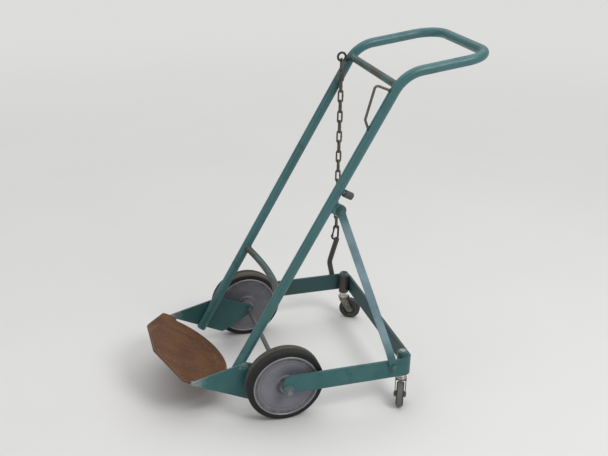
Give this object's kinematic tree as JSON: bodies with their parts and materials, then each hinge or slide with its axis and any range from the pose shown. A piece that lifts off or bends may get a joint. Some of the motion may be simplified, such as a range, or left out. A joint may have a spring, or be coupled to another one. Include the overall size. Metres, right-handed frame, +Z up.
{
  "type": "gas cylinder trolley",
  "caption": "Leaning two-rail trolley for a gas cylinder: loop handle, round toe plate, bowed saddle bar, retaining chain, main wheels and a caster-carried rear frame.",
  "frame": {"origin": "on the floor, in the middle plane between the two rails, halfway between the toe plate's front edge and the back of the grip", "axes": "+Z up, -Y towards the toe plate, +Y towards the handle, +X towards the side with the strut (the left of a person who pushes)"},
  "size_m": [0.564, 0.8612, 0.9221],
  "materials": {
    "teal_paint": "worn satin enamel",
    "worn_steel": "bare, rust-brown and rubbed",
    "wheel_grey": "satin grey paint, rubbed bright at the bead",
    "tyre": "black with a dusty tread",
    "rubber": "matte black",
    "zinc_steel": "dull zinc plate",
    "dark_steel": "dark oxidised steel",
    "bronze": "oiled bronze",
    "core_plastic": "moulded grey"
  },
  "bodies": {
    "frame": {"frame_tube": "teal_paint", "upper_cross_bar": "teal_paint", "lower_saddle_bar": "teal_paint", "toe_plate": "worn_steel", "left_side_plate": "teal_paint", "right_side_plate": "teal_paint", "main_axle": "zinc_steel", "axle_nuts": "zinc_steel", "axle_washers": "zinc_steel", "axle_spacers": "zinc_steel", "arm_collars": "zinc_steel", "caster_frame": "teal_paint", "left_caster_socket": "teal_paint", "right_caster_socket": "teal_paint", "left_caster_stem": "zinc_steel", "right_caster_stem": "zinc_steel", "stem_nuts": "zinc_steel", "stem_washers": "zinc_steel", "left_race_cap": "zinc_steel", "right_race_cap": "zinc_steel", "left_swivel_balls": "zinc_steel", "right_swivel_balls": "zinc_steel", "strut": "teal_paint", "strut_bracket": "teal_paint", "strut_bolts": "zinc_steel", "strut_nuts": "zinc_steel", "stop_stud": "zinc_steel", "rubber_stop": "rubber", "chain_eye": "dark_steel", "chain_catch": "dark_steel", "stow_post": "dark_steel"},
    "left_wheel": {"left_tyre": "tyre", "left_outer_disc": "wheel_grey", "left_inner_disc": "wheel_grey", "left_hub": "wheel_grey", "left_bush": "bronze"},
    "left_caster": {"left_caster_fork": "zinc_steel", "left_caster_axle": "zinc_steel"},
    "left_caster_wheel": {"left_caster_core": "core_plastic", "left_caster_tread": "rubber"},
    "right_wheel": {"right_tyre": "tyre", "right_outer_disc": "wheel_grey", "right_inner_disc": "wheel_grey", "right_hub": "wheel_grey", "right_bush": "bronze"},
    "right_caster": {"right_caster_fork": "zinc_steel", "right_caster_axle": "zinc_steel"},
    "right_caster_wheel": {"right_caster_core": "core_plastic", "right_caster_tread": "rubber"},
    "upper_chain": {"chain_upper": "dark_steel"},
    "middle_chain": {"chain_middle": "dark_steel"},
    "lower_chain": {"chain_lower": "dark_steel"},
    "hook": {"snap_hook": "dark_steel", "snap_pin": "zinc_steel"},
    "gate": {"snap_gate": "dark_steel"}
  },
  "joints": [
    {"name": "left_wheel_spin", "type": "hinge", "parent": "frame", "child": "left_wheel", "pos_m": [0.221, -0.11777, 0.1016], "axis": [1, 0, 0], "continuous": true},
    {"name": "left_caster_swivel", "type": "hinge", "parent": "frame", "child": "left_caster", "pos_m": [0.2363, 0.20223, 0.07], "axis": [0, 0, 1], "continuous": true},
    {"name": "left_caster_roll", "type": "hinge", "parent": "left_caster", "child": "left_caster_wheel", "pos_m": [0.25624, 0.19293, 0.0325], "axis": [0.4226, 0.9063, 0], "continuous": true},
    {"name": "right_wheel_spin", "type": "hinge", "parent": "frame", "child": "right_wheel", "pos_m": [-0.221, -0.11777, 0.1016], "axis": [1, 0, 0], "continuous": true},
    {"name": "right_caster_swivel", "type": "hinge", "parent": "frame", "child": "right_caster", "pos_m": [-0.2363, 0.20223, 0.07], "axis": [0, 0, 1], "continuous": true},
    {"name": "right_caster_roll", "type": "hinge", "parent": "right_caster", "child": "right_caster_wheel", "pos_m": [-0.2253, 0.22129, 0.0325], "axis": [-0.866, 0.5, 0], "continuous": true},
    {"name": "upper_chain_swing", "type": "hinge", "parent": "frame", "child": "upper_chain", "pos_m": [-0.142, 0.1372, 0.8527], "axis": [1, 0, 0], "range_deg": [-75, 25]},
    {"name": "middle_chain_swing", "type": "hinge", "parent": "upper_chain", "child": "middle_chain", "pos_m": [-0.142, 0.1372, 0.6987], "axis": [1, 0, 0], "range_deg": [-45, 45]},
    {"name": "lower_chain_swing", "type": "hinge", "parent": "middle_chain", "child": "lower_chain", "pos_m": [-0.142, 0.1372, 0.5265], "axis": [1, 0, 0], "range_deg": [-45, 45]},
    {"name": "hook_swing", "type": "hinge", "parent": "lower_chain", "child": "hook", "pos_m": [-0.142, 0.1372, 0.3543], "axis": [1, 0, 0], "range_deg": [-45, 45]},
    {"name": "gate_open", "type": "hinge", "parent": "hook", "child": "gate", "pos_m": [-0.142, 0.1257, 0.3266], "axis": [1, 0, 0], "range_deg": [-20, 0], "stiffness_Nm_per_rad": 0.02, "springref_deg": 5.73}
  ]
}
